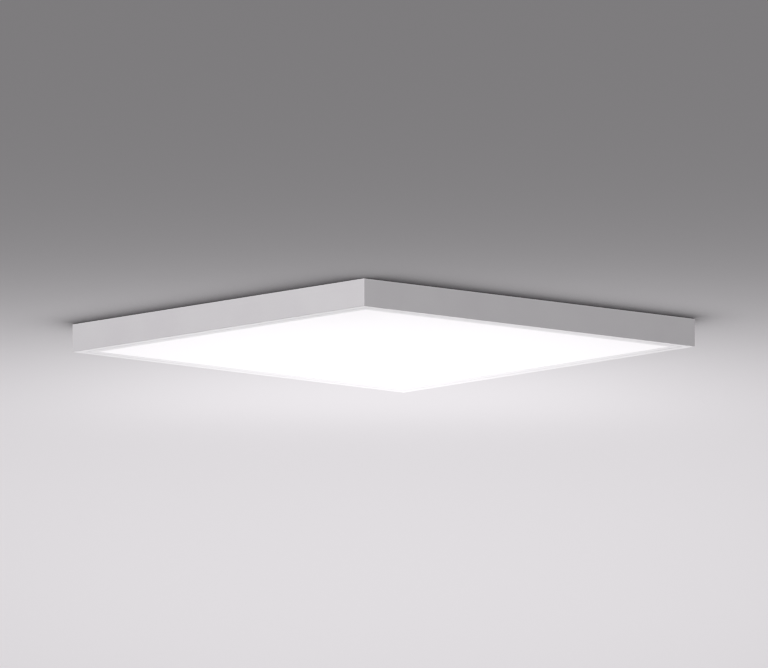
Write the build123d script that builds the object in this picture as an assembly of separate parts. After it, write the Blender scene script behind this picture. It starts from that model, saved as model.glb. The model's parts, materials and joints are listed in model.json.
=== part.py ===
from build123d import *
from math import radians, tan
import os

# A square edge-lit flush mount ceiling light: four mitred aluminium rails round an opal diffuser,
# a light guide fed by an LED strip on the left and right rails, a steel back plate that carries
# the driver and the supply terminals, and a steel bracket that stays screwed to the ceiling.
# Millimetres, +Z up. Z = 0 is the ceiling. The origin is the middle of the bracket's screw
# pattern, and the corner nearest the viewer of the photograph is at -X, -Y.

os.makedirs("parts", exist_ok=True)

# ---- Frame rails ----
side_length = 600.0
rail_height = 38.0
ceiling_gap = 0.5
rail_wall = 1.5
lip_width = 25.0
lip_thickness = 1.0
groove_from_face = 12.5
groove_width = 1.0
groove_depth = 0.35
chamber_width = 7.5
chamber_wall = 1.2
web_thickness = 1.0
bead_width = 2.6
bead_height = 2.0
outer_edge_radius = 0.6
lip_edge_radius = 0.8
corner_radius = 1.5

# ---- Corner keys that join the mitres ----
key_leg = 40.0
key_clearance = 0.15

# ---- Light stack on the lip, from the lit face up ----
diffuser_thickness = 1.5
field_gap = 0.4
field_recess = 0.15
guide_thickness = 3.0
reflector_thickness = 0.3
foam_thickness = 3.0
stack_clearance = 0.4

# ---- LED strips ----
strip_board_thickness = 1.0
strip_end_gap = 20.0
strip_seat_gap = 0.2
tab_width = 16.0
tab_height = 6.5
led_size = (0.8, 4.0, 1.4)
led_pitch = 10.0
socket_size = (4.0, 10.0, 5.0)
plug_size = (7.0, 9.0, 4.6)

# ---- Back plate ----
plate_thickness = 0.7
plate_gap = 0.4
rib_length = 130.0
rib_width = 12.0
rib_height = 1.2
rib_reach = 200.0
plate_screws_per_side = 5
plate_screw_radius = 1.5
plate_screw_head_radius = 2.8
plate_screw_length = 5.0
hole_clearance = 0.15

# ---- Ceiling bracket ----
bracket_length = 420.0
bracket_width = 90.0
bracket_thickness = 1.2
bracket_flange = 10.0
bend_radius = 1.8
screw_pattern = (300.0, 60.0)
screw_slot_radius = 2.5
screw_slot_length = 12.0
box_screw_spacing = 88.9
box_slot_length = 16.0
cable_hole_radius = 12.0
grommet_bore_radius = 8.0
grommet_flange_radius = 15.0
grommet_flange_thickness = 1.5

# ---- Spring clips on the bracket and catches on the back plate ----
clip_spacing = 50.0
clip_width = 14.0
clip_thickness = 0.5
clip_root_length = 20.0
clip_leg_height = 4.5
clip_nose_reach = 5.5
clip_nose_drop = 5.0
clip_tail_drop = 5.5
clip_bend_radius = 0.9
catch_thickness = 1.0
catch_width = 20.0
catch_overlap = 2.6
catch_nose_gap = 2.4
catch_foot = 15.0
catch_rest_gap = 0.3
catch_bend_radius = 1.4
rivet_radius = 1.6
rivet_head_radius = 3.0
rivet_head_height = 1.0
catch_rivet_spacing = 10.0

# ---- Driver ----
driver_length = 146.0
driver_width = 44.0
driver_height = 24.0
driver_wall = 1.2
driver_centre = (0.0, 92.0)
ear_length = 11.0
ear_width = 16.0
cover_skirt = 3.0
cover_clearance = 0.2
standoff_height = 3.0
standoff_radius = 2.0
standoff_inset = 7.0
board_thickness = 1.6
board_gap = 2.0
board_screw_radius = 1.0
board_screw_head_radius = 2.0
board_screw_length = 4.0
transformer_size = (26.0, 22.0, 14.0)
bobbin_flange = 2.0
capacitor_radius = 5.0
capacitor_height = 15.0
capacitor_offsets = (30.0, 43.0)
choke_offset = -34.0
choke_radius = 7.5
choke_bore_radius = 3.5
choke_height = 8.0
solder_block_size = (7.0, 16.0, 6.0)

# ---- Supply terminal block ----
terminal_gap = 27.0
terminal_depth = 22.0
terminal_height = 16.0
pole_pitch = 10.0
pole_wall = 2.0
terminal_ear = 8.0
terminal_ear_height = 2.5
wire_hole_radius = 1.7
wire_hole_height = 6.5
wire_entry_length = 5.0
lead_entry_length = 4.0
button_size = 5.0
button_rise = 1.6
button_travel = 1.5
button_clearance = 0.2
button_floor_gap = 0.4
contact_size = (12.0, 4.6, 1.5)
pole_headroom = 2.2

# ---- Studs and nuts on the back plate ----
stud_radius = 1.5
nut_across_flats = 5.5
nut_height = 2.4
stud_proud = 1.0
stud_clearance = 0.05
earth_offset = (11.0, 14.0)
earth_ring_radius = 4.0
earth_ring_thickness = 0.8
earth_washer_radius = 3.5
earth_washer_thickness = 0.6
earth_barrel_radius = 1.8
earth_barrel_length = 6.0
earth_neck_width = 3.0

# ---- Leads ----
lead_diameter = 2.4
cable_diameter = 4.4
lead_hole_clearance = 0.3
plug_in_length = 8.0
cable_lift = 0.4
driver_lead_spacing = 8.0
lead_straight = 7.0
cable_line_gap = 18.0
riser_share = 0.4
saddle_size = (10.0, 11.0, 6.6)
saddle_clearance = 0.2
saddle_spacing = 110.0
saddle_count = 3
first_saddle_x = -60.0

# ---- Levels and places worked out from the sizes above ----
half = side_length / 2
rail_top = -ceiling_gap
rail_bottom = rail_top - rail_height
lip_top = rail_bottom + lip_thickness
guide_bottom = lip_top + diffuser_thickness
reflector_bottom = guide_bottom + guide_thickness
foam_bottom = reflector_bottom + reflector_thickness
plate_bottom = foam_bottom + foam_thickness
plate_top = plate_bottom + plate_thickness
chamber_top = plate_bottom - web_thickness
inner_wall = rail_wall + chamber_width + chamber_wall
screw_line = rail_wall + chamber_width / 2
bracket_bottom = -bracket_thickness
guide_edge_x = half - inner_wall - strip_board_thickness - led_size[0] - stack_clearance
guide_edge_y = half - inner_wall - stack_clearance
cable_z = plate_top + cable_diameter / 2 + cable_lift


def block(x_span, y_span, z_span):
    """A box that fills a span on each axis."""
    spans = (x_span, y_span, z_span)
    sizes = [high - low for low, high in spans]
    middle = [(low + high) / 2 for low, high in spans]
    return Pos(*middle) * Box(*sizes)


def block_at(middle, size, bottom):
    """A box centred on a place of the plan, standing on a level."""
    return Pos(middle[0], middle[1], bottom + size[2] / 2) * Box(*size)


def post(place, bottom, top, radius):
    """An upright cylinder at a place of the plan."""
    return Pos(place[0], place[1], (bottom + top) / 2) * Cylinder(radius, top - bottom)


def rod_along_x(x_span, y, z, radius):
    """A cylinder that lies along X."""
    middle = Pos((x_span[0] + x_span[1]) / 2, y, z)
    return middle * Rot(0, 90, 0) * Cylinder(radius, x_span[1] - x_span[0])


def rod_along_y(x, y_span, z, radius):
    """A cylinder that lies along Y."""
    middle = Pos(x, (y_span[0] + y_span[1]) / 2, z)
    return middle * Rot(90, 0, 0) * Cylinder(radius, y_span[1] - y_span[0])


def upright_slot(place, slot_length, radius):
    """A slot along X, cut through the bracket's flat part."""
    tall = 4 * bracket_thickness
    outline = Pos(place[0], place[1], -tall / 2) * SlotOverall(slot_length, 2 * radius)
    return extrude(outline, tall)


def folded_strip(points, thickness, radius, width):
    """Sheet metal folded along a path in the XZ plane, as wide as given, centred on Y = 0."""
    path = FilletPolyline(*points, radius=radius)
    section = Plane.XZ * trace(path, thickness)
    return extrude(section, width / 2, both=True)


def pan_screw(place, seat, length, radius, head_radius):
    """A pan head screw with a cross recess, its head standing on the seat."""
    head_height = 0.64 * head_radius
    recess_depth = head_height / 2
    recess_width = 0.3 * head_radius
    recess_length = 1.2 * head_radius
    head_top = seat + head_height
    head = post(place, seat, head_top, head_radius)
    head = fillet(head.edges().group_by(Axis.Z)[-1], head_height / 3)
    screw = head + post(place, seat - length, seat, radius)
    for bar in ((recess_length, recess_width), (recess_width, recess_length)):
        screw -= block_at(place, (*bar, recess_depth), head_top - recess_depth)
    return screw


def rivet(place, head_seat, far_end):
    """A rivet with a domed head on its seat and a flush far end."""
    upwards = 1 if head_seat > far_end else -1
    head_end = head_seat + upwards * rivet_head_height
    head = post(place, min(head_seat, head_end), max(head_seat, head_end), rivet_head_radius)
    rim = head.edges().sort_by(Axis.Z)[-1 if upwards > 0 else 0]
    head = fillet(rim, rivet_head_height / 2)
    return head + post(place, min(head_seat, far_end), max(head_seat, far_end), rivet_radius)


def bend_radii(points):
    """The largest fair arc at each corner of a lead's route."""
    corners = [Vector(*point) for point in points]
    radii = []
    for before, corner, after in zip(corners, corners[1:], corners[2:]):
        shorter_run = min((corner - before).length, (after - corner).length)
        turn = (corner - before).get_angle(after - corner)
        radii.append(0.45 * shorter_run / tan(radians(turn) / 2))
    return radii


def lead(name, points, diameter):
    """A round lead: straight runs joined by tangent arcs."""
    radii = bend_radii(points)
    path = FilletPolyline(*points, radius=radii)
    section = Plane(origin=path @ 0, z_dir=path % 0) * Circle(diameter / 2)
    tube = sweep(section, path)
    print(name, "radii", [round(radius, 1) for radius in radii])
    print(name, "volume over section times length", round(tube.volume / (section.area * path.length), 4))
    return tube


def ends(shape):
    """The shape, and the same shape turned half round for the other end."""
    return [shape, Rot(0, 0, 180) * shape]


def save(name, *shapes):
    """One file for a sub-part, which may be several like solids."""
    solids = [solid for shape in shapes for solid in shape.solids()]
    whole = solids[0] if len(solids) == 1 else Compound(solids)
    export_step(whole, f"parts/{name}.step")


# ---- Frame: four rails, mitred at the corners ----
def rail_section():
    """The extrusion's section: distance inwards from the outer face, then height."""
    wall_inside = rail_wall
    outline = Polyline(
        (0, rail_bottom),
        (groove_from_face, rail_bottom),
        (groove_from_face, rail_bottom + groove_depth),
        (groove_from_face + groove_width, rail_bottom + groove_depth),
        (groove_from_face + groove_width, rail_bottom),
        (lip_width, rail_bottom),
        (lip_width, lip_top),
        (inner_wall, lip_top),
        (inner_wall, plate_bottom),
        (wall_inside, plate_bottom),
        (wall_inside, rail_top - bead_height),
        (bead_width, rail_top - bead_height),
        (bead_width, rail_top),
        (0, rail_top),
        close=True,
    )
    solid_section = make_face(outline)
    outer_corners = solid_section.vertices().group_by(Axis.X)[0]
    solid_section = fillet(outer_corners, outer_edge_radius)
    lip_edge = solid_section.vertices().group_by(Axis.X)[-1].sort_by(Axis.Y)[0]
    solid_section = fillet(lip_edge, lip_edge_radius)
    chamber = Pos(wall_inside + chamber_width / 2, (lip_top + chamber_top) / 2)
    return solid_section - chamber * Rectangle(chamber_width, chamber_top - lip_top)


def screw_places():
    """Where the back plate's screws go down into the near rail."""
    pitch = (side_length - 2 * key_leg) / (plate_screws_per_side - 1)
    first = -half + key_leg
    return [(first + step * pitch, -half + screw_line) for step in range(plate_screws_per_side)]


def near_rail():
    """The rail along the -Y side, with its mitred ends."""
    start = Plane(origin=(-half, -half, 0), x_dir=(0, 1, 0), z_dir=(1, 0, 0))
    bar = extrude(start * rail_section(), side_length)
    quarter = make_face(Polyline((-half, -half), (half, -half), (0, 0), close=True))
    quarter = quarter & RectangleRounded(side_length, side_length, corner_radius)
    mitre = extrude(Pos(0, 0, rail_bottom) * quarter, rail_height)
    bar = bar & mitre
    for place in screw_places():
        bar -= post(place, chamber_top, plate_bottom, plate_screw_radius + hole_clearance)
    return bar


def corner_key():
    """An L that fills the chambers of two rails where they meet, at the -X, -Y corner."""
    low = -half + rail_wall + key_clearance
    high = -half + rail_wall + chamber_width - key_clearance
    levels = (lip_top + key_clearance, chamber_top - key_clearance)
    end = -half + key_leg - plate_screw_radius - 2 * plate_screw_head_radius
    return block((low, end), (low, high), levels) + block((low, high), (low, end), levels)


rail = near_rail()
for turn, name in enumerate(["near", "right", "far", "left"]):
    save(f"frame_rail_{name}", Rot(0, 0, 90 * turn) * rail)
save("corner_keys", *[Rot(0, 0, 90 * turn) * corner_key() for turn in range(4)])


# ---- Light stack: sheets that lie on the lip, one on the other ----
def sheet(bottom, thickness):
    """A flat sheet that fills the frame above the lip."""
    return block((-guide_edge_x, guide_edge_x), (-guide_edge_y, guide_edge_y), (bottom, bottom + thickness))


def diffuser_field():
    """The thicker middle of the diffuser, which fills the opening almost flush with the lip."""
    reach = half - lip_width - field_gap
    return block((-reach, reach), (-reach, reach), (rail_bottom + field_recess, lip_top))


save("diffuser", sheet(lip_top, diffuser_thickness) + diffuser_field())
save("light_guide", sheet(guide_bottom, guide_thickness))
save("reflector_sheet", sheet(reflector_bottom, reflector_thickness))
save("foam_pad", sheet(foam_bottom, foam_thickness))


# ---- LED strips on the inner walls of the left and right rails ----
def strip_board():
    """The board of the right strip, with a tab that stands up through the back plate."""
    face = half - inner_wall
    across = (face - strip_board_thickness, face)
    along = (-half + strip_end_gap, half - strip_end_gap)
    board = block(across, along, (lip_top + strip_seat_gap, plate_bottom))
    return board + block(across, (-tab_width / 2, tab_width / 2), (plate_bottom, plate_top + tab_height))


def strip_leds():
    """The row of LEDs on the right strip, facing the edge of the light guide."""
    face = half - inner_wall - strip_board_thickness
    middle_z = guide_bottom + guide_thickness / 2
    count = int((side_length - 2 * strip_end_gap - led_pitch) // led_pitch)
    row = []
    for number in range(count):
        middle_y = (number - (count - 1) / 2) * led_pitch
        row.append(Pos(face - led_size[0] / 2, middle_y, middle_z) * Box(*led_size))
    return row


tab_face = half - inner_wall - strip_board_thickness
socket = Pos(tab_face - socket_size[0] / 2, 0, cable_z) * Box(*socket_size)
plug_face = tab_face - socket_size[0]
plug = Pos(plug_face - plug_size[0] / 2, 0, cable_z) * Box(*plug_size)
plug_end = plug_face - plug_size[0]
right_leds = strip_leds()
save("led_strip_board_right", strip_board())
save("led_strip_board_left", Rot(0, 0, 180) * strip_board())
save("leds_right", *right_leds)
save("leds_left", *[Rot(0, 0, 180) * led for led in right_leds])
save("strip_sockets", *ends(socket))
save("cable_plugs", *ends(plug))

# ---- Driver and terminal block places that the back plate shares ----
driver_x = (driver_centre[0] - driver_length / 2, driver_centre[0] + driver_length / 2)
driver_y = (driver_centre[1] - driver_width / 2, driver_centre[1] + driver_width / 2)
ear_reach = driver_length / 2 + ear_length / 2
driver_stud_places = [(driver_centre[0] + sign * ear_reach, driver_centre[1]) for sign in (-1, 1)]
earth_place = (driver_x[1] + earth_offset[0], driver_y[0] - earth_offset[1])
terminal_x = (driver_x[1] + terminal_gap, driver_x[1] + terminal_gap + terminal_depth)
terminal_half_width = 1.5 * pole_pitch + pole_wall
terminal_middle = ((terminal_x[0] + terminal_x[1]) / 2, driver_centre[1])
pole_ys = {
    "earth": driver_centre[1] - pole_pitch,
    "live": driver_centre[1],
    "neutral": driver_centre[1] + pole_pitch,
}
terminal_stud_reach = terminal_half_width + terminal_ear / 2
terminal_stud_places = [
    (terminal_middle[0], terminal_middle[1] + sign * terminal_stud_reach) for sign in (-1, 1)
]
stud_stacks = {place: driver_wall for place in driver_stud_places}
stud_stacks.update({place: terminal_ear_height for place in terminal_stud_places})
stud_stacks[earth_place] = earth_ring_thickness + earth_washer_thickness


# ---- Spring clips and catches, first as paths in the XZ plane ----
clip_face = bracket_length / 2 - clip_thickness
clip_root_z = bracket_bottom - clip_thickness / 2
leg_end_z = clip_root_z - clip_leg_height
nose_z = leg_end_z - clip_nose_drop
nose_x = clip_face + clip_nose_reach
clip_path = [
    (clip_face - clip_root_length, clip_root_z),
    (clip_face, clip_root_z),
    (clip_face, leg_end_z),
    (nose_x, nose_z),
    (clip_face, nose_z - clip_tail_drop),
]
clip_rivet_x = clip_face - clip_root_length / 2
catch_tip_x = nose_x - catch_overlap
nose_slope_z = leg_end_z - (catch_tip_x - clip_face) * clip_nose_drop / clip_nose_reach
catch_lip_z = nose_slope_z + clip_thickness + catch_rest_gap + catch_thickness / 2
catch_upright_x = nose_x + catch_nose_gap
catch_path = [
    (catch_tip_x, catch_lip_z),
    (catch_upright_x, catch_lip_z),
    (catch_upright_x, plate_top + catch_thickness / 2),
    (catch_upright_x + catch_foot, plate_top + catch_thickness / 2),
]
catch_rivet_x = catch_upright_x + catch_foot / 2 + catch_thickness
clip_rivet_places = [(clip_rivet_x, sign * clip_spacing / 2) for sign in (-1, 1)]
catch_rivet_places = [
    (catch_rivet_x, side * clip_spacing / 2 + sign * catch_rivet_spacing / 2)
    for side in (-1, 1)
    for sign in (-1, 1)
]


def spring_clips():
    """Two leaf springs at the bracket's +X end, each holed for its rivet."""
    leaf = folded_strip(clip_path, clip_thickness, clip_bend_radius, clip_width)
    clips = []
    for place in clip_rivet_places:
        hole = post(place, clip_root_z - clip_thickness, 0, rivet_radius + stud_clearance)
        clips.append(Pos(0, place[1], 0) * leaf - hole)
    return clips


def catches():
    """Two folded catches on the back plate at the +X end, whose lips sit over the clips' noses."""
    shape = folded_strip(catch_path, catch_thickness, catch_bend_radius, catch_width)
    pieces = []
    for side in (-1, 1):
        piece = Pos(0, side * clip_spacing / 2, 0) * shape
        for place in catch_rivet_places:
            piece -= post(place, plate_top, plate_top + catch_thickness, rivet_radius + stud_clearance)
        pieces.append(piece)
    return pieces


def spring_rivets():
    """The rivets of the spring clips at the +X end, flush with the ceiling side."""
    return [rivet(place, clip_root_z - clip_thickness / 2, 0) for place in clip_rivet_places]


def catch_rivets():
    """The rivets of the catches at the +X end, flush with the back plate's underside."""
    return [rivet(place, plate_top + catch_thickness, plate_bottom) for place in catch_rivet_places]


for name, shapes in {"spring_clips": spring_clips(), "spring_clip_rivets": spring_rivets()}.items():
    save(name, *[piece for shape in shapes for piece in ends(shape)])
for name, shapes in {"catches": catches(), "catch_rivets": catch_rivets()}.items():
    save(name, *[piece for shape in shapes for piece in ends(shape)])


# ---- Ceiling bracket and its cable grommet ----
def ceiling_bracket():
    """A channel that opens downwards, with slots for the ceiling and junction box screws."""
    edge = bracket_width / 2 - bracket_thickness / 2
    mid_z = -bracket_thickness / 2
    path = FilletPolyline(
        (-edge, -bracket_flange), (-edge, mid_z), (edge, mid_z), (edge, -bracket_flange), radius=bend_radius
    )
    channel = extrude(Plane.YZ * trace(path, bracket_thickness), bracket_length / 2, both=True)
    half_x, half_y = screw_pattern[0] / 2, screw_pattern[1] / 2
    for x in (-half_x, half_x):
        for y in (-half_y, half_y):
            channel -= upright_slot((x, y), screw_slot_length, screw_slot_radius)
    for x in (-box_screw_spacing / 2, box_screw_spacing / 2):
        channel -= upright_slot((x, 0), box_slot_length, screw_slot_radius)
    channel -= post((0, 0), bracket_bottom, 0, cable_hole_radius)
    for x, y in clip_rivet_places:
        for place in ((x, y), (-x, -y)):
            channel -= post(place, bracket_bottom, 0, rivet_radius + stud_clearance)
    return channel


def cable_grommet():
    """A rubber bush in the bracket's cable hole, with its flange on the underside."""
    neck = post((0, 0), bracket_bottom, 0, cable_hole_radius - stud_clearance)
    flange = post((0, 0), bracket_bottom - grommet_flange_thickness, bracket_bottom, grommet_flange_radius)
    bore = post((0, 0), bracket_bottom - grommet_flange_thickness, 0, grommet_bore_radius)
    return neck + flange - bore


save("ceiling_bracket", ceiling_bracket())
save("cable_grommet", cable_grommet())


# ---- Back plate with its screws, studs and nuts ----
def around(places):
    """The places of one side, turned to all four sides."""
    turned = []
    for x, y in places:
        turned += [(x, y), (-y, x), (-x, -y), (y, -x)]
    return turned


def stiffening_rib():
    """The outside of one pressed rib, with sloping sides, across the +X, +Y corner of the plate."""
    outline = SlotOverall(rib_length, rib_width)
    place = Pos(rib_reach, rib_reach, plate_top) * Rot(0, 0, 45)
    return place * extrude(outline, rib_height, taper=45)


def back_plate():
    """A steel sheet on the rails' webs, with four pressed ribs, holed for all that it carries."""
    edge = half - bead_width - plate_gap
    plate = block((-edge, edge), (-edge, edge), (plate_bottom, plate_top))
    for turn in range(4):
        rib = Rot(0, 0, 90 * turn) * stiffening_rib()
        plate = plate + rib - Pos(0, 0, -plate_thickness) * rib
    for place in around(screw_places()):
        plate -= post(place, plate_bottom, plate_top, plate_screw_radius + hole_clearance)
    for place in stud_stacks:
        plate -= post(place, plate_bottom, plate_top, stud_radius + stud_clearance)
    for x, y in catch_rivet_places:
        for place in ((x, y), (-x, -y)):
            plate -= post(place, plate_bottom, plate_top, rivet_radius + stud_clearance)
    slot_half = tab_width / 2 + stack_clearance
    slot_x = (tab_face - stack_clearance, tab_face + strip_board_thickness + stack_clearance)
    for slot in ends(block(slot_x, (-slot_half, slot_half), (plate_bottom, plate_top))):
        plate -= slot
    return plate


def plate_screw(place):
    """A screw that holds the back plate down on a rail's web."""
    return pan_screw(place, plate_top, plate_screw_length, plate_screw_radius, plate_screw_head_radius)


def stud(place, stack):
    """A press-in stud that stands up from the back plate through a stack and its nut."""
    return post(place, plate_bottom, plate_top + stack + nut_height + stud_proud, stud_radius)


def nut(place, seat):
    """A hexagon nut on its seat."""
    body = extrude(Pos(place[0], place[1], seat) * RegularPolygon(nut_across_flats / 2, 6, False), nut_height)
    return body - post(place, seat, seat + nut_height, stud_radius + stud_clearance)


save("back_plate", back_plate())
save("back_plate_screws", *[plate_screw(place) for place in around(screw_places())])
save("plate_studs", *[stud(place, stack) for place, stack in stud_stacks.items()])
save("stud_nuts", *[nut(place, plate_top + stack) for place, stack in stud_stacks.items()])

# ---- Driver: case, cover, board and what stands on the board ----
case_floor = plate_top + driver_wall
board_bottom = case_floor + standoff_height
board_top = board_bottom + board_thickness
cover_bottom = plate_top + driver_height - driver_wall
lead_z = board_top + solder_block_size[2] / 2
inner_x = (driver_x[0] + driver_wall, driver_x[1] - driver_wall)
inner_y = (driver_y[0] + driver_wall, driver_y[1] - driver_wall)
standoff_places = [
    (x, y)
    for x in (inner_x[0] + standoff_inset, inner_x[1] - standoff_inset)
    for y in (inner_y[0] + standoff_inset, inner_y[1] - standoff_inset)
]
driver_lead_ys = (driver_centre[1] - driver_lead_spacing / 2, driver_centre[1] + driver_lead_spacing / 2)


def driver_case():
    """An open steel tray with a fixing ear at each end and holes for the leads."""
    case = block(driver_x, driver_y, (plate_top, cover_bottom))
    case -= block(inner_x, inner_y, (case_floor, cover_bottom))
    for place in standoff_places:
        case += post(place, case_floor, board_bottom, standoff_radius)
        case -= post(place, case_floor, board_bottom, board_screw_radius + stud_clearance)
    for place in driver_stud_places:
        case += block_at(place, (ear_length, ear_width, driver_wall), plate_top)
        case -= post(place, plate_top, case_floor, stud_radius + stud_clearance)
    lead_hole = lead_diameter / 2 + lead_hole_clearance
    cable_hole = cable_diameter / 2 + lead_hole_clearance
    for y in driver_lead_ys:
        case -= rod_along_x((inner_x[1], driver_x[1]), y, lead_z, lead_hole)
        case -= rod_along_x((driver_x[0], inner_x[0]), y, lead_z, cable_hole)
    return case


def driver_board():
    """The circuit board on the standoffs, holed for its screws."""
    board = block(board_x, board_y, (board_bottom, board_top))
    for place in standoff_places:
        board -= post(place, board_bottom, board_top, board_screw_radius + stud_clearance)
    return board


def board_screw(place):
    """A screw that holds the board on its standoff."""
    return pan_screw(place, board_top, board_screw_length, board_screw_radius, board_screw_head_radius)


def driver_cover():
    """A flat lid with a skirt inside the case walls."""
    lid = block(driver_x, driver_y, (cover_bottom, cover_bottom + driver_wall))
    outer_x = (inner_x[0] + cover_clearance, inner_x[1] - cover_clearance)
    outer_y = (inner_y[0] + cover_clearance, inner_y[1] - cover_clearance)
    levels = (cover_bottom - cover_skirt, cover_bottom)
    skirt = block(outer_x, outer_y, levels)
    hollow_x = (outer_x[0] + driver_wall, outer_x[1] - driver_wall)
    hollow_y = (outer_y[0] + driver_wall, outer_y[1] - driver_wall)
    return lid + (skirt - block(hollow_x, hollow_y, levels))


def transformer():
    """A ferrite core between the two flanges of its bobbin."""
    middle = driver_centre
    length, width, height = transformer_size
    core = block_at(middle, (length, width, height - 2 * bobbin_flange), board_top + bobbin_flange)
    flange = (length - 2 * bobbin_flange, width - 2 * bobbin_flange, bobbin_flange)
    core += block_at(middle, flange, board_top)
    return core + block_at(middle, flange, board_top + height - bobbin_flange)


board_x = (inner_x[0] + board_gap, inner_x[1] - board_gap)
board_y = (inner_y[0] + board_gap, inner_y[1] - board_gap)
capacitor_places = [(driver_centre[0] + offset, driver_centre[1]) for offset in capacitor_offsets]
choke_place = (driver_centre[0] + choke_offset, driver_centre[1])
choke = post(choke_place, board_top, board_top + choke_height, choke_radius)
choke -= post(choke_place, board_top, board_top + choke_height, choke_bore_radius)
solder_reach = driver_length / 2 - driver_wall - board_gap - solder_block_size[0] / 2
solder_places = [(driver_centre[0] + sign * solder_reach, driver_centre[1]) for sign in (-1, 1)]
solder_x = driver_length / 2 - driver_wall - board_gap
save("driver_case", driver_case())
save("driver_cover", driver_cover())
save("driver_board", driver_board())
save("driver_board_screws", *[board_screw(place) for place in standoff_places])
save("driver_transformer", transformer())
save(
    "driver_capacitors",
    *[post(place, board_top, board_top + capacitor_height, capacitor_radius) for place in capacitor_places],
)
save("driver_choke", choke)
save("driver_solder_blocks", *[block_at(place, solder_block_size, board_top) for place in solder_places])

# ---- Supply terminal block: push-wire poles with a release button each ----
terminal_top = plate_top + terminal_height
wire_z = plate_top + wire_hole_height
button_x = terminal_x[1] - wire_entry_length - button_size / 2 - button_clearance
button_bottom = wire_z + wire_hole_radius + button_travel + button_floor_gap
contact_top = wire_z - wire_hole_radius
contact_bottom = contact_top - contact_size[2]
pole_x = (terminal_x[0] + lead_entry_length, terminal_x[1] - wire_entry_length)
pole_middle_x = (pole_x[0] + pole_x[1]) / 2


def terminal_housing():
    """The moulded body: for each pole two wire bores, a chamber and a button well, and two fixing ears."""
    size = (terminal_depth, 2 * terminal_half_width, terminal_height)
    body = block_at(terminal_middle, size, plate_top)
    well = button_size + 2 * button_clearance
    chamber = (pole_x[1] - pole_x[0], well, wire_z + pole_headroom - contact_bottom)
    for y in pole_ys.values():
        body -= block_at((pole_middle_x, y), chamber, contact_bottom)
        body -= block_at((button_x, y), (well, well, terminal_top - wire_z), wire_z)
        body -= rod_along_x((pole_x[1], terminal_x[1]), y, wire_z, wire_hole_radius)
        body -= rod_along_x((terminal_x[0], pole_x[0]), y, wire_z, lead_diameter / 2 + hole_clearance)
    for place in terminal_stud_places:
        body += block_at(place, (terminal_depth / 2, terminal_ear, terminal_ear_height), plate_top)
        body -= post(place, plate_top, plate_top + terminal_ear_height, stud_radius + stud_clearance)
    return body


def release_button(y):
    """A square button that slides down in its well to open the pole's spring."""
    height = terminal_top + button_rise - button_bottom
    button = block_at((button_x, y), (button_size, button_size, height), button_bottom)
    return fillet(button.edges().group_by(Axis.Z)[-1], button_clearance)


save("terminal_housing", terminal_housing())
contacts = [block_at((pole_middle_x, y), contact_size, contact_bottom) for y in pole_ys.values()]
save("terminal_contacts", *contacts)
for name, y in pole_ys.items():
    save(f"release_button_{name}", release_button(y))


# ---- Earth connection on the back plate ----
earth_x, earth_y = earth_place
barrel_start = earth_y + earth_ring_radius + earth_ring_thickness
barrel_end = barrel_start + earth_barrel_length
barrel_z = plate_top + earth_barrel_radius
ring_top = plate_top + earth_ring_thickness


def earth_ring_terminal():
    """A crimped ring terminal: flat ring, neck and barrel."""
    ring = post(earth_place, plate_top, ring_top, earth_ring_radius)
    neck_x = (earth_x - earth_neck_width / 2, earth_x + earth_neck_width / 2)
    neck = block(neck_x, (earth_y, barrel_start + earth_barrel_radius), (plate_top, ring_top))
    barrel = rod_along_y(earth_x, (barrel_start, barrel_end), barrel_z, earth_barrel_radius)
    hole = post(earth_place, plate_top, ring_top, stud_radius + stud_clearance)
    return ring + neck + barrel - hole


washer = post(earth_place, ring_top, ring_top + earth_washer_thickness, earth_washer_radius)
washer -= post(earth_place, ring_top, ring_top + earth_washer_thickness, stud_radius + stud_clearance)
save("earth_ring_terminal", earth_ring_terminal())
save("earth_washer", washer)

# ---- Leads inside the light, along their real routes ----
entry_x = terminal_x[0] + plug_in_length
case_face = driver_x[1]
live_route = [
    (solder_x, driver_lead_ys[0], lead_z),
    (case_face + lead_straight, driver_lead_ys[0], lead_z),
    (terminal_x[0] - lead_straight, pole_ys["live"], wire_z),
    (entry_x, pole_ys["live"], wire_z),
]
neutral_route = [
    (solder_x, driver_lead_ys[1], lead_z),
    (case_face + lead_straight, driver_lead_ys[1], lead_z),
    (terminal_x[0] - lead_straight, pole_ys["neutral"], wire_z),
    (entry_x, pole_ys["neutral"], wire_z),
]
earth_route = [
    (earth_x, barrel_end, barrel_z),
    (earth_x, barrel_end + lead_straight, barrel_z),
    (terminal_x[0] - lead_straight, pole_ys["earth"], wire_z),
    (entry_x, pole_ys["earth"], wire_z),
]
save("live_lead", lead("live_lead", live_route, lead_diameter))
save("neutral_lead", lead("neutral_lead", neutral_route, lead_diameter))
save("earth_lead", lead("earth_lead", earth_route, lead_diameter))

cable_line_y = driver_y[1] + cable_line_gap
output_x = driver_x[0]
catch_end_x = catch_upright_x + catch_foot
riser_x = catch_end_x + riser_share * (plug_end - catch_end_x)
left_route = [
    (-solder_x, driver_lead_ys[0], lead_z),
    (output_x - 24, driver_lead_ys[0], lead_z),
    (output_x - 48, driver_lead_ys[0] - 2, cable_z),
    (-riser_x + 35, driver_lead_ys[0] - 6, cable_z),
    (-riser_x + 2, 52, cable_z),
    (-riser_x, 0, cable_z),
    (-plug_end, 0, cable_z),
]
right_route = [
    (-solder_x, driver_lead_ys[1], lead_z),
    (output_x - 22, driver_lead_ys[1], lead_z),
    (output_x - 44, driver_lead_ys[1] + 8, cable_z),
    (output_x - 36, cable_line_y - 6, cable_z),
    (output_x - 8, cable_line_y, cable_z),
    (riser_x - 35, cable_line_y, cable_z),
    (riser_x - 2, 84, cable_z),
    (riser_x, 0, cable_z),
    (plug_end, 0, cable_z),
]


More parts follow.
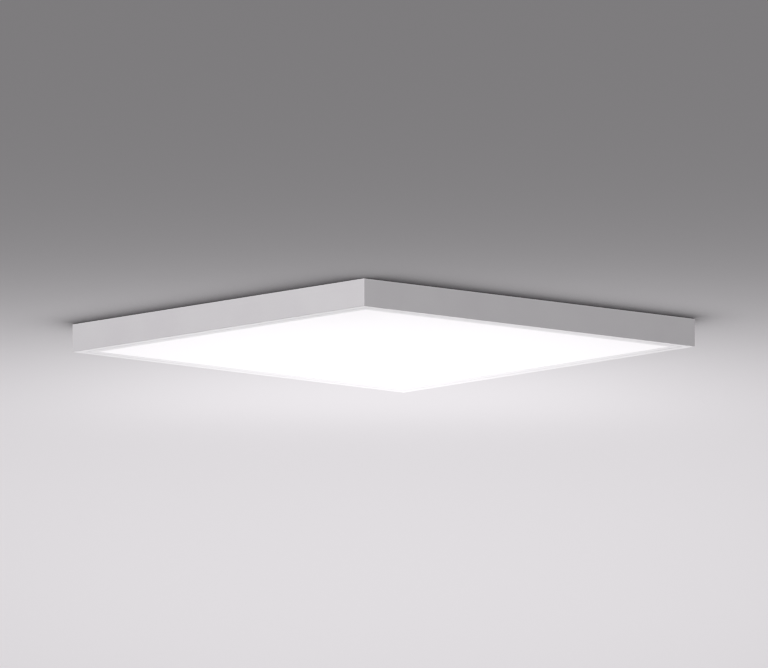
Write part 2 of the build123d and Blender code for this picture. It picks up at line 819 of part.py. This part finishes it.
def cable_saddle(place):
    """A moulded arch, stuck to the back plate, over a cable that runs along X."""
    arch = block_at(place, saddle_size, plate_top)
    arch = fillet(arch.edges().filter_by(Axis.X).group_by(Axis.Z)[-1], cable_diameter / 2)
    span = (place[0] - saddle_size[0] / 2, place[0] + saddle_size[0] / 2)
    channel = cable_diameter / 2 + saddle_clearance
    arch -= rod_along_x(span, place[1], cable_z, channel)
    return arch - block(span, (place[1] - channel, place[1] + channel), (plate_top, cable_z))


save("strip_cable_left", lead("strip_cable_left", left_route, cable_diameter))
save("strip_cable_right", lead("strip_cable_right", right_route, cable_diameter))
saddle_xs = [first_saddle_x + step * saddle_spacing for step in range(saddle_count)]
save("cable_saddles", *[cable_saddle((x, cable_line_y)) for x in saddle_xs])
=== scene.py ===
"""A square flush mount ceiling light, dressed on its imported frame, as it hangs on its ceiling.

Lengths are in metres. Sizes of finishes and small details are in millimetres, to be multiplied by MM.
"""

import json
import math

import bpy
from mathutils import Euler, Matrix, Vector

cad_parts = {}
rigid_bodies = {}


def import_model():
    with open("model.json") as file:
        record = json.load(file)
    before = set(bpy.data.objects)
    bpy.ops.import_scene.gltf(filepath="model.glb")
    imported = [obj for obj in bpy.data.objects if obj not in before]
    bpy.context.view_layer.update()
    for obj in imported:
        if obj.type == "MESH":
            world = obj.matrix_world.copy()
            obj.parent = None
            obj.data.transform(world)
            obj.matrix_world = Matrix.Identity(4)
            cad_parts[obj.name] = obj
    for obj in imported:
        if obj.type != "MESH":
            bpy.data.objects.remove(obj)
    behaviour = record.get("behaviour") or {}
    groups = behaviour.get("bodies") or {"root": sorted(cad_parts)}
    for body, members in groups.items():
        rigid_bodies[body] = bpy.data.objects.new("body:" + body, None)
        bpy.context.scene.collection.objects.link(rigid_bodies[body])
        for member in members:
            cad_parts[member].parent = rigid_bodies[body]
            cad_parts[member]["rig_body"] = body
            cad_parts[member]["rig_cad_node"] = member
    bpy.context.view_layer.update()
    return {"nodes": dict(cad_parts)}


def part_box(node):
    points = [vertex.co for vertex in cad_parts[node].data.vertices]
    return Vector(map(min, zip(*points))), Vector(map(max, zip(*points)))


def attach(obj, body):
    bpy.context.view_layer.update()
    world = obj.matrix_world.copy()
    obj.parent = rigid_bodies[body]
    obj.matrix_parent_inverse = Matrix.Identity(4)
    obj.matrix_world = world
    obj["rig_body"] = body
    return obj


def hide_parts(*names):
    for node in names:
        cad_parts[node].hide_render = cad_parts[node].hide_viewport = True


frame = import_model()


# ---- The room ----
# The light hangs on a plain pale ceiling, seen from eight degrees below by a camera without perspective.
# Two large soft lamps stand to its left and above it. Three more shine up: a wide one at the ceiling
# beyond it, a small one at the pool of light past its far corner, and one at its lip and lit face.
MM = 0.001


def hex_linear(code):
    """The linear colour of an sRGB hex code."""
    values = [int(code[start : start + 2], 16) / 255 for start in (0, 2, 4)]
    return [v / 12.92 if v <= 0.04045 else ((v + 0.055) / 1.055) ** 2.4 for v in values] + [1.0]


def add_node(tree, kind, links=None, **settings):
    """Adds a node, sets its settings, and fills its inputs with values or with other nodes' outputs."""
    node = tree.nodes.new(kind)
    for name, value in settings.items():
        setattr(node, name, value)
    for name, value in (links or {}).items():
        if isinstance(value, bpy.types.NodeSocket):
            tree.links.new(value, node.inputs[name])
        else:
            node.inputs[name].default_value = value
    return node


view_azimuth = math.radians(-41.36)
view_rise = math.radians(8.0)
view_width = 1.0437
view_shift = (0.37 * MM, 2.1 * MM)
camera_distance = 5.0
camera_reach = 30.0
rail_bottom, rail_top = [corner.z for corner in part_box("frame_rail_near")]
light_middle = Vector((0, 0, (rail_bottom + rail_top) / 2))
view_turn = Euler((math.radians(90) + view_rise, 0, view_azimuth))
camera_data = bpy.data.cameras.new("camera")
camera_data.type = "ORTHO"
camera_data.ortho_scale = view_width
camera_data.clip_end = camera_reach
camera = bpy.data.objects.new("camera", camera_data)
bpy.context.scene.collection.objects.link(camera)
camera.rotation_euler = view_turn
camera.location = light_middle + view_turn.to_matrix() @ Vector((*view_shift, camera_distance))
bpy.context.scene.camera = camera
bpy.context.scene.view_settings.view_transform = "Standard"


def hang_lamp(name, place, turn, size, energy):
    """A rectangular soft lamp that the camera doesn't see."""
    data = bpy.data.lights.new(name, "AREA")
    data.shape = "RECTANGLE"
    data.size, data.size_y = size
    data.energy = energy
    lamp = bpy.data.objects.new(name, data)
    bpy.context.scene.collection.objects.link(lamp)
    lamp.location = place
    lamp.rotation_euler = turn
    lamp.visible_camera = False


def soft_lamp(name, place, side, level):
    """A square lamp turned to the light. A white surface there that faces it gets about this level."""
    place = Vector(place)
    turn = (-place).to_track_quat("-Z", "Y").to_euler()
    hang_lamp(name, place, turn, (side, side), level * math.pi**2 * place.length**2)


def upward_lamp(name, size, near_edge, drop, azimuth, level):
    """A lamp under the ceiling that shines straight up, its near edge this far past the middle."""
    width, depth = size
    place = Euler((0, 0, azimuth)).to_matrix() @ Vector((0, near_edge + depth / 2, -drop))
    turn = (math.radians(180), 0, azimuth)
    hang_lamp(name, place, turn, size, level * math.pi * width * depth)


soft_lamp("left_lamp", place=(-2.6, -0.95, 1.6), side=3.7, level=0.70)
soft_lamp("top_lamp", place=(0.5, 1.2, 2.6), side=2.8, level=0.36)
upward_lamp(
    "ceiling_wash_lamp", size=(2.8, 4.6), near_edge=0.17, drop=0.85, azimuth=view_azimuth, level=0.94
)
upward_lamp(
    "ceiling_glow_lamp", size=(0.7, 0.7), near_edge=0.25, drop=0.27, azimuth=view_azimuth, level=0.42
)
upward_lamp("lip_lamp", size=(0.5, 0.5), near_edge=-0.25, drop=0.22, azimuth=0.0, level=0.33)

# The room lights the object at a low level, and is a pale wall where it is seen, also in glossy pieces.
room_level = 0.29
room_pale = hex_linear("E2E1E3")
world = bpy.data.worlds.new("studio")
bpy.context.scene.world = world
world.use_nodes = True
tree = world.node_tree
tree.nodes.clear()
path = add_node(tree, "ShaderNodeLightPath")
seen = path.outputs["Is Camera Ray"]
for ray in ("Is Glossy Ray", "Is Transmission Ray"):
    either = add_node(tree, "ShaderNodeMath", {0: seen, 1: path.outputs[ray]}, operation="MAXIMUM")
    seen = either.outputs[0]
lit = add_node(tree, "ShaderNodeBackground", {"Color": (1, 1, 1, 1), "Strength": room_level})
pale = add_node(tree, "ShaderNodeBackground", {"Color": room_pale, "Strength": 1.0})
both = add_node(tree, "ShaderNodeMixShader", {0: seen, 1: lit.outputs[0], 2: pale.outputs[0]})
add_node(tree, "ShaderNodeOutputWorld", {"Surface": both.outputs[0]})

sheet_width = 14.0
painted_shade_samples = 16


def painted_sheet(name, height, shown_side, code, painted_shade_reach, painted_shade_depth, own_light):
    """A wide, plain, matte sheet that only the camera sees, and from one side. Light goes through it.

    It shows the shadows that fall on it. Its paint also carries painted shade: it is mixed towards black
    where nearby things close it in, as a painted contact shadow.
    """
    bpy.ops.mesh.primitive_plane_add(size=sheet_width, location=(0, 0, height))
    sheet = bpy.context.object
    sheet.name = name
    material = bpy.data.materials.new(name + "_matte_paint_with_painted_shade")
    material.use_nodes = True
    tree = material.node_tree
    tree.nodes.clear()
    pigment = hex_linear(code)
    black = (0, 0, 0, 1)
    # Painted shade: an occlusion probe finds nearby things, and the paint goes towards black there, as a
    # painted contact shadow next to the light.
    painted_shade_probe = add_node(tree, "ShaderNodeAmbientOcclusion", {"Distance": painted_shade_reach}, samples=painted_shade_samples)
    painted_shade_factor = add_node(
        tree, "ShaderNodeMath", {0: painted_shade_probe.outputs["AO"], 1: painted_shade_depth}, operation="POWER"
    )
    # Inputs 6 and 7 of a mix of colours are its two colours, and output 2 is the mixed one.
    colour = add_node(
        tree, "ShaderNodeMix", {0: painted_shade_factor.outputs[0], 6: black, 7: pigment}, data_type="RGBA"
    )
    paint = add_node(tree, "ShaderNodeBsdfDiffuse", {"Color": colour.outputs[2]})
    lift = add_node(tree, "ShaderNodeEmission", {"Color": pigment, "Strength": own_light})
    lifted = add_node(tree, "ShaderNodeAddShader", {0: paint.outputs[0], 1: lift.outputs[0]})
    clear = add_node(tree, "ShaderNodeBsdfTransparent")
    side = add_node(tree, "ShaderNodeNewGeometry").outputs["Backfacing"]
    if shown_side == "above":
        side = add_node(tree, "ShaderNodeMath", {0: 1.0, 1: side}, operation="SUBTRACT").outputs[0]
    camera_ray = add_node(tree, "ShaderNodeLightPath").outputs["Is Camera Ray"]
    shown = add_node(tree, "ShaderNodeMath", {0: side, 1: camera_ray}, operation="MULTIPLY")
    mixed = add_node(
        tree, "ShaderNodeMixShader", {0: shown.outputs[0], 1: clear.outputs[0], 2: lifted.outputs[0]}
    )
    add_node(tree, "ShaderNodeOutputMaterial", {"Surface": mixed.outputs[0]})
    sheet.data.materials.append(material)


# The ceiling carries a strong painted contact shadow around the light, and the floor a weaker one.
painted_sheet(
    "ceiling",
    height=0.2 * MM,
    shown_side="below",
    code="DAD7DA",
    painted_shade_reach=250 * MM,
    painted_shade_depth=1.7,
    own_light=0.0,
)
painted_sheet(
    "floor",
    height=-300 * MM,
    shown_side="above",
    code="C4C3C4",
    painted_shade_reach=100 * MM,
    painted_shade_depth=1.0,
    own_light=0.65,
)


# ---- Ceiling bracket ----
# A channel pressed from galvanised steel strip, with slots for ceiling screws. It stays on the ceiling.
# Hot-dip zinc freezes in flat crystals a few millimetres wide, each with its own grey and gloss.
def per_metre(size):
    """The scale of a texture whose features are this many millimetres wide."""
    return 1 / (size * MM)


def new_material(name):
    """A node material, its tree, its shader and the place of each point on the object."""
    material = bpy.data.materials.new(name)
    material.use_nodes = True
    tree = material.node_tree
    shader = tree.nodes["Principled BSDF"]
    place = add_node(tree, "ShaderNodeTexCoord").outputs["Object"]
    return material, tree, shader, place


def lay_finish(tree, shader, pattern, colours, span, roughness, relief=0.0, gloss=None, grain=None):
    """Drives a shader from a pattern.

    The colour goes from one hex code to the other as the pattern crosses the span. The roughness goes
    from one number to the other as the pattern, or a gloss of its own, goes from 0 to 1. The relief is
    this many millimetres of the pattern, or of a grain of its own.
    """
    start, end = span
    low, high = colours
    share = add_node(tree, "ShaderNodeMapRange", {"Value": pattern, "From Min": start, "From Max": end})
    mixed = add_node(
        tree,
        "ShaderNodeMix",
        {0: share.outputs["Result"], 6: hex_linear(low), 7: hex_linear(high)},
        data_type="RGBA",
    )
    tree.links.new(mixed.outputs[2], shader.inputs["Base Color"])
    low, high = roughness
    dulled = add_node(
        tree, "ShaderNodeMapRange", {"Value": gloss or pattern, "To Min": low, "To Max": high}
    )
    tree.links.new(dulled.outputs["Result"], shader.inputs["Roughness"])
    if relief:
        bump = add_node(tree, "ShaderNodeBump", {"Height": grain or pattern, "Distance": relief * MM})
        tree.links.new(bump.outputs["Normal"], shader.inputs["Normal"])


zinc_span = (0.0, 0.7)
zinc_roughness = (0.40, 0.55)
frost_size = 1.5
frost_relief = 0.02


def spangled_zinc(name, colours, crystal):
    """Galvanised steel: frosted zinc crystals that are this many millimetres wide."""
    material, tree, shader, place = new_material(name)
    crystals = add_node(
        tree, "ShaderNodeTexVoronoi", {"Vector": place, "Scale": per_metre(crystal), "Randomness": 1.0}
    )
    shade = add_node(tree, "ShaderNodeSeparateColor", {"Color": crystals.outputs["Color"]})
    frost = add_node(
        tree, "ShaderNodeTexNoise", {"Vector": place, "Scale": per_metre(frost_size), "Detail": 3.0}
    )
    mottle = add_node(
        tree,
        "ShaderNodeMath",
        {0: shade.outputs["Red"], 1: frost.outputs["Fac"]},
        operation="MULTIPLY",
    )
    lay_finish(
        tree,
        shader,
        pattern=mottle.outputs[0],
        colours=colours,
        span=zinc_span,
        roughness=zinc_roughness,
        relief=frost_relief,
        gloss=shade.outputs["Green"],
        grain=frost.outputs["Fac"],
    )
    shader.inputs["Metallic"].default_value = 1.0
    return material


def select_only(piece):
    """Makes this the one selected and active object."""
    bpy.ops.object.select_all(action="DESELECT")
    piece.select_set(True)
    bpy.context.view_layer.objects.active = piece


merge_gap = 0.001 * MM
flat_angle = math.radians(0.5)
sharp_angle = math.radians(40)
smooth_angle = math.radians(35)
edge_steps = 2
flat_weight = 100


def eased_copy(node, width, material):
    """A copy of a CAD node whose sharp edges are eased, as bending, moulding or coating leaves them."""
    source = frame["nodes"][node]
    select_only(source)
    bpy.ops.object.duplicate()
    piece = bpy.context.object
    piece.name = node + "_eased"
    body = piece["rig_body"]
    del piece["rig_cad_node"]
    bpy.ops.object.mode_set(mode="EDIT")
    bpy.ops.mesh.select_all(action="SELECT")
    bpy.ops.mesh.customdata_custom_splitnormals_clear()
    bpy.ops.mesh.remove_doubles(threshold=merge_gap)
    bpy.ops.mesh.dissolve_limited(angle_limit=flat_angle)
    bpy.ops.object.mode_set(mode="OBJECT")
    bevel = piece.modifiers.new("ease", "BEVEL")
    bevel.width = width * MM
    bevel.segments = edge_steps
    bevel.limit_method = "ANGLE"
    bevel.angle_limit = sharp_angle
    bevel.use_clamp_overlap = False
    bpy.ops.object.modifier_apply(modifier="ease")
    bpy.ops.object.shade_smooth_by_angle(angle=smooth_angle)
    flats = piece.modifiers.new("flats", "WEIGHTED_NORMAL")
    flats.keep_sharp = True
    flats.weight = flat_weight
    bpy.ops.object.modifier_apply(modifier="flats")
    piece.material_slots[0].material = material
    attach(piece, body)
    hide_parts(node)
    return piece


bracket_edge = 0.35
bracket_zinc = spangled_zinc("bracket_galvanised_steel", ("A2A5A7", "BABCBE"), crystal=3.0)
eased_copy("ceiling_bracket", bracket_edge, bracket_zinc)


# ---- Cable grommet ----
# A moulded black rubber ring in the bracket's hole. It keeps the edge of the steel off the supply cable.
# Moulded rubber is matt, with a fine grain and paler handling marks.
def dress(material, *nodes):
    """Gives CAD nodes this material."""
    for node in nodes:
        for place in frame["nodes"][node].material_slots:
            place.material = material


fine_share = 0.5
broad_ratio = 30
grain_span = (0.5, 1.0)


def grained(name, colours, grain, roughness, relief=0.01, subsurface=0.0):
    """A moulded or coated finish: colour, gloss and relief that wander over grains of a real size."""
    material, tree, shader, place = new_material(name)
    fine = add_node(
        tree,
        "ShaderNodeTexNoise",
        {"Vector": place, "Scale": per_metre(grain), "Detail": 4.0, "Roughness": 0.6},
    )
    broad = add_node(
        tree,
        "ShaderNodeTexNoise",
        {"Vector": place, "Scale": per_metre(broad_ratio * grain), "Detail": 2.0},
    )
    mixed = add_node(
        tree,
        "ShaderNodeMath",
        {0: fine.outputs["Fac"], 1: fine_share, 2: broad.outputs["Fac"]},
        operation="MULTIPLY_ADD",
    )
    lay_finish(
        tree,
        shader,
        pattern=mixed.outputs[0],
        colours=colours,
        span=grain_span,
        roughness=roughness,
        relief=relief,
        gloss=broad.outputs["Fac"],
        grain=fine.outputs["Fac"],
    )
    shader.inputs["Subsurface Weight"].default_value = subsurface
    return material


black_rubber = grained(
    "moulded_black_rubber", ("161616", "262525"), grain=1.2, roughness=(0.62, 0.78), relief=0.03
)
dress(black_rubber, "cable_grommet")


# ---- Spring clips and their rivets ----
# Four clips of tempered spring steel, riveted to the ends of the bracket. They snap over the catches.
# The strip is rolled, so fine lines run along it; tempering leaves it a little darker and bluish.
line_span = (0.3, 0.7)
line_relief = 0.01


def streaked_metal(name, colours, line, roughness):
    """Rolled, drawn or plated metal. Line is its grain in mm, drawn coarse enough to show."""
    material, tree, shader, place = new_material(name)
    stretched = add_node(
        tree, "ShaderNodeMapping", {"Vector": place, "Scale": [per_metre(size) for size in line]}
    )
    lines = add_node(
        tree, "ShaderNodeTexNoise", {"Vector": stretched.outputs[0], "Scale": 1.0, "Detail": 3.0}
    )
    lay_finish(
        tree,
        shader,
        pattern=lines.outputs["Fac"],
        colours=colours,
        span=line_span,
        roughness=roughness,
        relief=line_relief,
    )
    shader.inputs["Metallic"].default_value = 1.0
    return material


spring_steel = streaked_metal(
    "tempered_spring_steel", ("868A91", "9FA3AA"), line=(8.0, 0.4, 8.0), roughness=(0.25, 0.4)
)
dress(spring_steel, "spring_clips")
# Zinc plating on small fasteners is bright and even, with soft blotches instead of lines.
bright_zinc = streaked_metal(
    "bright_zinc_plated_steel", ("C3C5C4", "DCDEDD"), line=(3.0, 3.0, 3.0), roughness=(0.2, 0.34)
)
dress(bright_zinc, "spring_clip_rivets")


# ---- Frame rails and corner keys ----
# Four lengths of extruded aluminium, mitred and pressed together on keys, in matt white powder coat.
# The baked powder has a faint orange peel and hardly any gloss.
powder_coat = grained(
    "matt_white_powder_coat", ("E4E0E4", "E9E6E9"), grain=2.5, roughness=(0.33, 0.39), relief=0.006
)
dress(powder_coat, "frame_rail_near", "frame_rail_right", "frame_rail_far", "frame_rail_left")
# The keys are cut from bare extruded aluminium, which is softly bright, with fine draw lines.
mill_aluminium = streaked_metal(
    "mill_finish_aluminium", ("C4C6C8", "DADCDD"), line=(3.0, 3.0, 0.4), roughness=(0.3, 0.45)
)
dress(mill_aluminium, "corner_keys")


# ---- Opal diffuser ----
# A sheet of opal acrylic that lies on the lip, with a thicker middle that fills the opening. It glows
# evenly, in neutral white, a touch weaker towards the corners. It lets most light through, so what it
# reflects by itself is a middle grey. Its moulded face is satin.
half_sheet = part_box("diffuser")[1].y
glow = 0.55
corner_glow = 0.97 * glow
cloud_size = 90.0
opal, tree, shader, place = new_material("lit_opal_acrylic")
axes = add_node(tree, "ShaderNodeSeparateXYZ", {"Vector": place})
reach = []
for axis in ("X", "Y"):
    share = add_node(tree, "ShaderNodeMath", {0: axes.outputs[axis], 1: half_sheet}, operation="DIVIDE")
    size = add_node(tree, "ShaderNodeMath", {0: share.outputs[0]}, operation="ABSOLUTE")
    reach.append(size.outputs[0])
corner = add_node(tree, "ShaderNodeMath", {0: reach[0], 1: reach[1]}, operation="MULTIPLY")
weaker = add_node(
    tree, "ShaderNodeMapRange", {"Value": corner.outputs[0], "To Min": glow, "To Max": corner_glow}
)
tree.links.new(weaker.outputs["Result"], shader.inputs["Emission Strength"])
shader.inputs["Emission Color"].default_value = hex_linear("FFFCFF")
cloud = add_node(
    tree, "ShaderNodeTexNoise", {"Vector": place, "Scale": per_metre(cloud_size), "Detail": 2.0}
)
lay_finish(
    tree,
    shader,
    pattern=cloud.outputs["Fac"],
    colours=("989698", "9C9A9C"),
    span=(0.3, 0.7),
    roughness=(0.48, 0.56),
)
dress(opal, "diffuser")


# ---- Light guide, reflector and foam pad ----
# Over the diffuser lie a clear acrylic guide with etched dots, a white polyester film and a foam pad.
# The dots throw the strips' light down, the film sends back what leaks, and the foam keeps it all tight.
# The guide is clear, and frosted at its dots.
dot_pitch = 1.6
guide, tree, shader, place = new_material("clear_acrylic_with_etched_dots")
dots = add_node(
    tree, "ShaderNodeTexVoronoi", {"Vector": place, "Scale": per_metre(dot_pitch), "Randomness": 0.0}
)
lay_finish(
    tree,
    shader,
    pattern=dots.outputs["Distance"],
    colours=("FFFFFF", "EDF4F3"),
    span=(0.2, 0.3),
    roughness=(0.5, 0.03),
)
shader.inputs["Transmission Weight"].default_value = 0.9
shader.inputs["IOR"].default_value = 1.49
dress(guide, "light_guide")
# The film is satin and almost clean white, and the foam is matt, with open cells.
film = grained("white_polyester_film", ("F0F0EF", "F6F6F5"), grain=1.0, roughness=(0.35, 0.5))
dress(film, "reflector_sheet")
foam = grained(
    "white_polyethylene_foam", ("D9D9D6", "EDEDEA"), grain=0.8, roughness=(0.8, 0.95), relief=0.1
)
dress(foam, "foam_pad")


# ---- LED strips ----
# On each side of the guide is an aluminium board with white mask, a row of small packages with a yellow
# phosphor window, a moulded socket on its tab and the plug of its cable. The copper tracks show through
# the mask as low ridges in a cleaner white.
track_pitch = 9.0
strip_mask, tree, shader, place = new_material("white_solder_mask_on_aluminium")
tracks = add_node(
    tree,
    "ShaderNodeTexWave",
    {"Vector": place, "Scale": per_metre(track_pitch), "Distortion": 0.4},
    bands_direction="Z",
)
lay_finish(
    tree,
    shader,
    pattern=tracks.outputs["Fac"],
    colours=("DDDCD6", "ECECE8"),
    span=(0.1, 0.25),
    roughness=(0.38, 0.46),
    relief=0.03,
)
dress(strip_mask, "led_strip_board_left", "led_strip_board_right")
# The phosphor is set in clear gel, which leaves it a smooth, pale yellow.
phosphor = grained("yellow_phosphor_window", ("E8D47A", "F0E3A0"), grain=0.6, roughness=(0.25, 0.35))
dress(phosphor, "leds_left", "leds_right")
# Moulded nylon is a waxy, slightly warm white that light goes a little way into.
plug_edge = 0.3
white_nylon = grained(
    "moulded_white_nylon", ("DEDDD8", "E8E7E3"), grain=0.9, roughness=(0.38, 0.5), subsurface=0.05
)
eased_copy("strip_sockets", plug_edge, white_nylon)
eased_copy("cable_plugs", plug_edge, white_nylon)


# ---- Back plate with its screws, studs and nuts ----
# A sheet of galvanised steel that closes the frame from above, stiffened by four pressed ribs and held
# by twenty pan head screws. Press-in studs with nuts hold the driver, the terminals and the earth wire.
# The sheet's zinc has larger crystals than the bracket's.
plate_edge = 0.3
plate_zinc = spangled_zinc("back_plate_galvanised_steel", ("A1A4A7", "B9BCBE"), crystal=6.0)
eased_copy("back_plate", plate_edge, plate_zinc)
dress(bright_zinc, "back_plate_screws", "plate_studs", "stud_nuts")


# ---- Catches ----
# Four strips of galvanised steel, riveted to the back plate and bent up to hook over the clips.
# They carry the same fine zinc as the bracket, and their rivets are bright.
dress(bracket_zinc, "catches")
dress(bright_zinc, "catch_rivets")


# ---- Driver ----
# The power supply in a case of folded steel with a lid, in satin off-white enamel. Inside are a green
# glass-epoxy board, a transformer in a ferrite core, two sleeved capacitors, a choke and solder blocks.
case_edge = 0.5
enamel = grained("off_white_enamel_on_steel", ("D2D1CC", "DAD9D5"), grain=2.0, roughness=(0.34, 0.46))
eased_copy("driver_case", case_edge, enamel)
lid = eased_copy("driver_cover", case_edge, enamel)

# A shallow blank panel is pressed into the lid, where a rating label goes.
label_margin = 5.0
label_wall = 0.3
label_sink = 0.25
lid_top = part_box("driver_cover")[1].z
level_enough = 0.99
near_enough = 0.01 * MM
for face in lid.data.polygons:
    face.select = face.normal.z > level_enough and abs(face.center.z - lid_top) < near_enough
select_only(lid)
bpy.ops.object.mode_set(mode="EDIT")
bpy.ops.mesh.select_mode(type="FACE")
bpy.ops.mesh.inset(thickness=label_margin * MM, depth=0)
bpy.ops.mesh.inset(thickness=label_wall * MM, depth=-label_sink * MM)
bpy.ops.object.mode_set(mode="OBJECT")

# The glass cloth shows through the green epoxy as a faint weave, drawn coarser than it is.
weave_size = 12.0
weave_gap = 0.04
weave_roughness = (0.32, 0.42)
laminate, tree, shader, place = new_material("green_glass_epoxy_board")
weave = add_node(
    tree,
    "ShaderNodeTexBrick",
    {
        "Vector": place,
        "Scale": per_metre(weave_size),
        "Mortar Size": weave_gap,
        "Color1": hex_linear("1E6B39"),
        "Color2": hex_linear("24733F"),
        "Mortar": hex_linear("35885A"),
    },
)
resin = add_node(
    tree,
    "ShaderNodeMapRange",
    {"Value": weave.outputs["Fac"], "To Min": weave_roughness[0], "To Max": weave_roughness[1]},
)
tree.links.new(weave.outputs["Color"], shader.inputs["Base Color"])
tree.links.new(resin.outputs["Result"], shader.inputs["Roughness"])
dress(laminate, "driver_board")
dress(bright_zinc, "driver_board_screws")
# Ferrite is a sooty, slightly rough ceramic. The capacitors' shrunk sleeves are smooth and dark blue.
ferrite = grained(
    "grey_black_ferrite", ("1E1E20", "303033"), grain=0.7, roughness=(0.5, 0.7), relief=0.03
)
dress(ferrite, "driver_transformer", "driver_choke")
sleeve = grained("dark_blue_capacitor_sleeve", ("121C2A", "1A2637"), grain=2.0, roughness=(0.2, 0.3))
dress(sleeve, "driver_capacitors")
dress(white_nylon, "driver_solder_blocks")


# ---- Supply terminals ----
# A push-in terminal block in white nylon with contacts of stamped brass, which is warm and streaked.
# Each of its three buttons, in waxy orange nylon, is pressed to let one wire go.
housing_edge = 0.35
eased_copy("terminal_housing", housing_edge, white_nylon)
brass = streaked_metal(
    "stamped_brass", ("B8934A", "D2B06A"), line=(0.3, 8.0, 8.0), roughness=(0.25, 0.4)
)
dress(brass, "terminal_contacts")
orange = grained(
    "moulded_orange_nylon", ("D9661A", "E37426"), grain=0.8, roughness=(0.36, 0.46), subsurface=0.05
)
dress(orange, "release_button_earth", "release_button_live", "release_button_neutral")


# ---- Leads, strip cables and saddles ----
# Single wires in soft satin PVC go from the terminals to the driver: brown for live, blue for neutral,
# green and yellow for earth. Two white cables feed the strips, held down by nylon saddles.
stripe_size = 16.0
saddle_edge = 0.3
brown_pvc = grained("brown_pvc", ("57301A", "66391F"), grain=1.5, roughness=(0.32, 0.42))
dress(brown_pvc, "live_lead")
blue_pvc = grained("blue_pvc", ("1F4E94", "2A5CA6"), grain=1.5, roughness=(0.32, 0.42))
dress(blue_pvc, "neutral_lead")
striped, tree, shader, place = new_material("green_and_yellow_pvc")
bands = add_node(
    tree,
    "ShaderNodeTexWave",
    {"Vector": place, "Scale": per_metre(stripe_size)},
    bands_direction="DIAGONAL",
)
lay_finish(
    tree,
    shader,
    pattern=bands.outputs["Fac"],
    colours=("3D8B37", "E0C92F"),
    span=(0.58, 0.64),
    roughness=(0.34, 0.4),
)
dress(striped, "earth_lead")
sheath = grained("white_pvc_sheath", ("DDDCD9", "E6E5E2"), grain=2.0, roughness=(0.36, 0.48))
dress(sheath, "strip_cable_left", "strip_cable_right")
eased_copy("cable_saddles", saddle_edge, white_nylon)


# ---- Earth connection ----
# The earth wire's tinned copper ring lies on a stud of the back plate, under a zinc washer and a nut.
# Tinned copper is bright and slightly warm.
tinned = streaked_metal(
    "tinned_copper", ("CFCEC9", "E2E1DC"), line=(2.0, 2.0, 2.0), roughness=(0.2, 0.32)
)
dress(tinned, "earth_ring_terminal")
dress(bright_zinc, "earth_washer")
